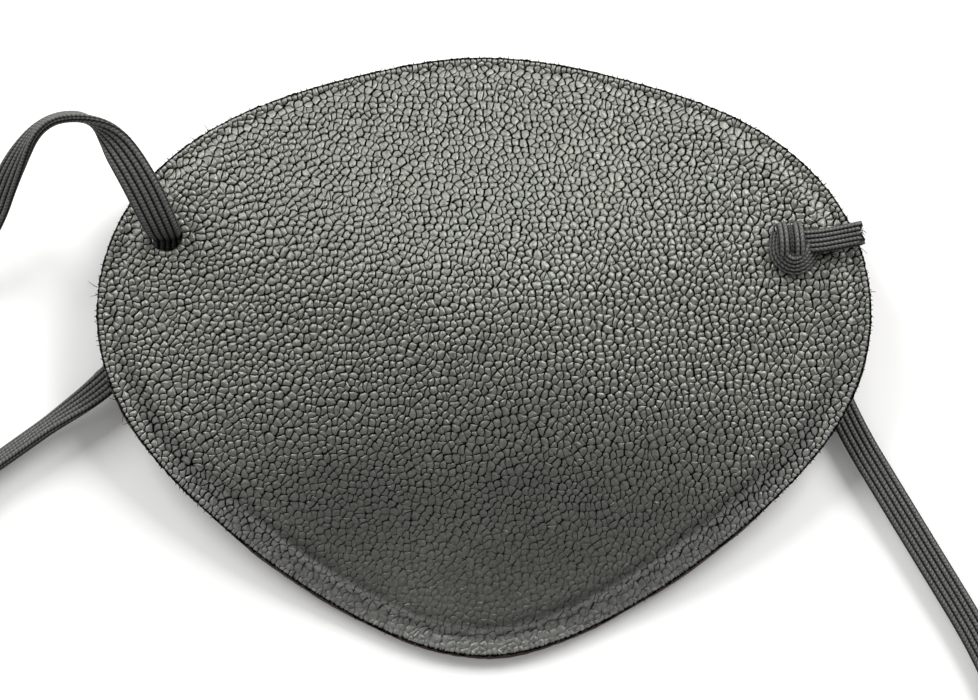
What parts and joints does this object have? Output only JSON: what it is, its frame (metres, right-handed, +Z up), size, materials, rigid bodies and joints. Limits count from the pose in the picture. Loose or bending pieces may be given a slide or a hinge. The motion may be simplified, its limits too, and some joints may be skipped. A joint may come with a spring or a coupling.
{
  "type": "eye patch",
  "caption": "Rounded triangular eye patch of formed pebble-grain leather with a domed front, soft lining and a knotted flat elastic strap.",
  "frame": {"origin": "on the surface that the patch lies on, under the middle of the patch without its strap", "axes": "+X along the longest side, towards the knotted end; +Y to the brow edge; +Z up, out of the domed front"},
  "size_m": [0.1259, 0.1114, 0.0147],
  "materials": {
    "outer_leather": "black pebble grain, satin",
    "stiffener": "matt fibre board",
    "lining": "dark brown suede",
    "elastic": "black ribbed woven elastic",
    "tie": "black hook-and-loop band"
  },
  "bodies": {
    "root": {"outer_leather": "outer_leather", "stiffener": "stiffener", "lining": "lining", "strap_knot": "elastic", "strap_knot_tail": "elastic", "strap_right_run": "elastic", "strap_coil": "elastic", "coil_tie": "tie", "strap_left_run": "elastic", "strap_free_end": "elastic"}
  },
  "joints": []
}
